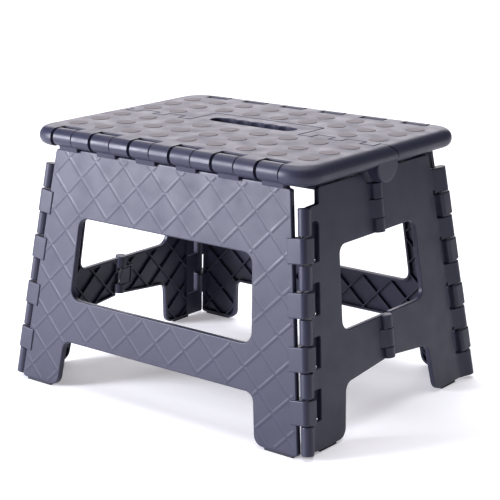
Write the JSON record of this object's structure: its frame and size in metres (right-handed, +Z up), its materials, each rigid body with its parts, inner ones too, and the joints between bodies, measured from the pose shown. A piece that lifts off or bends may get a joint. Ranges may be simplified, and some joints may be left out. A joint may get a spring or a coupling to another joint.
{
  "type": "step stool",
  "caption": "Folding step stool with a split top, slotted carrying handle, splayed leg panels with windows and end panels that fold inward.",
  "frame": {"origin": "on the floor under the middle of the top", "axes": "+X along the long side, +Y to the back leg panel, +Z up"},
  "size_m": [0.3168, 0.2462, 0.22],
  "materials": {
    "panel": "fine moulded grain, slate blue-grey",
    "pad": "soft anti-slip rubber, grey-brown",
    "rod": "drawn wire rod"
  },
  "bodies": {
    "centre_hinge": {"centre_rod_left": "rod", "centre_rod_right": "rod"},
    "top_front": {"top_front": "panel", "top_rod_front": "rod"},
    "top_back": {"top_back": "panel", "top_rod_back": "rod"},
    "leg_front": {"leg_front": "panel", "corner_rod_front_left": "rod", "foot_pad_front_left": "pad", "corner_rod_front_right": "rod", "foot_pad_front_right": "pad"},
    "leg_back": {"leg_back": "panel", "corner_rod_back_left": "rod", "foot_pad_back_left": "pad", "corner_rod_back_right": "rod", "foot_pad_back_right": "pad"},
    "end_right_front": {"end_right_front": "panel", "end_pad_right_front": "pad", "end_rod_right_upper": "rod", "end_rod_right_lower": "rod"},
    "end_right_back": {"end_right_back": "panel", "end_pad_right_back": "pad"},
    "end_left_front": {"end_left_front": "panel", "end_pad_left_front": "pad"},
    "end_left_back": {"end_left_back": "panel", "end_pad_left_back": "pad", "end_rod_left_upper": "rod", "end_rod_left_lower": "rod"}
  },
  "joints": [
    {"name": "fold_front", "type": "hinge", "parent": "centre_hinge", "child": "top_front", "pos_m": [0, 0, 0.2055], "axis": [1, 0, 0], "range_deg": [0, 83]},
    {"name": "fold_back", "type": "hinge", "parent": "centre_hinge", "child": "top_back", "pos_m": [0, 0, 0.2055], "axis": [-1, 0, 0], "range_deg": [0, 83.01]},
    {"name": "leg_front_hinge", "type": "hinge", "parent": "top_front", "child": "leg_front", "pos_m": [0, -0.1008, 0.2115], "axis": [-1, 0, 0], "range_deg": [0, 77.21]},
    {"name": "leg_back_hinge", "type": "hinge", "parent": "top_back", "child": "leg_back", "pos_m": [0, 0.1008, 0.2115], "axis": [1, 0, 0], "range_deg": [0, 77.21]},
    {"name": "end_right_front_hinge", "type": "hinge", "parent": "leg_front", "child": "end_right_front", "pos_m": [0.15025, -0.116, 0], "axis": [-0.1183, 0.1193, 0.9858], "range_deg": [0, 87.51]},
    {"name": "end_right_back_hinge", "type": "hinge", "parent": "leg_back", "child": "end_right_back", "pos_m": [0.15025, 0.116, 0], "axis": [0.1183, 0.1193, -0.9858], "range_deg": [0, 87.51]},
    {"name": "end_left_front_hinge", "type": "hinge", "parent": "leg_front", "child": "end_left_front", "pos_m": [-0.15025, -0.116, 0], "axis": [-0.1183, -0.1193, -0.9858], "range_deg": [0, 87.51]},
    {"name": "end_left_back_hinge", "type": "hinge", "parent": "leg_back", "child": "end_left_back", "pos_m": [-0.15025, 0.116, 0], "axis": [0.1183, -0.1193, 0.9858], "range_deg": [0, 87.51]}
  ],
  "couplings": [
    {"joint": "fold_back", "follows": "fold_front", "ratio": 1},
    {"joint": "leg_front_hinge", "follows": "fold_front", "ratio": 0.93012},
    {"joint": "leg_back_hinge", "follows": "fold_front", "ratio": 0.93012},
    {"joint": "end_right_front_hinge", "follows": "fold_front", "ratio": 1.0542},
    {"joint": "end_right_back_hinge", "follows": "fold_front", "ratio": 1.0542},
    {"joint": "end_left_front_hinge", "follows": "fold_front", "ratio": 1.0542},
    {"joint": "end_left_back_hinge", "follows": "fold_front", "ratio": 1.0542}
  ]
}
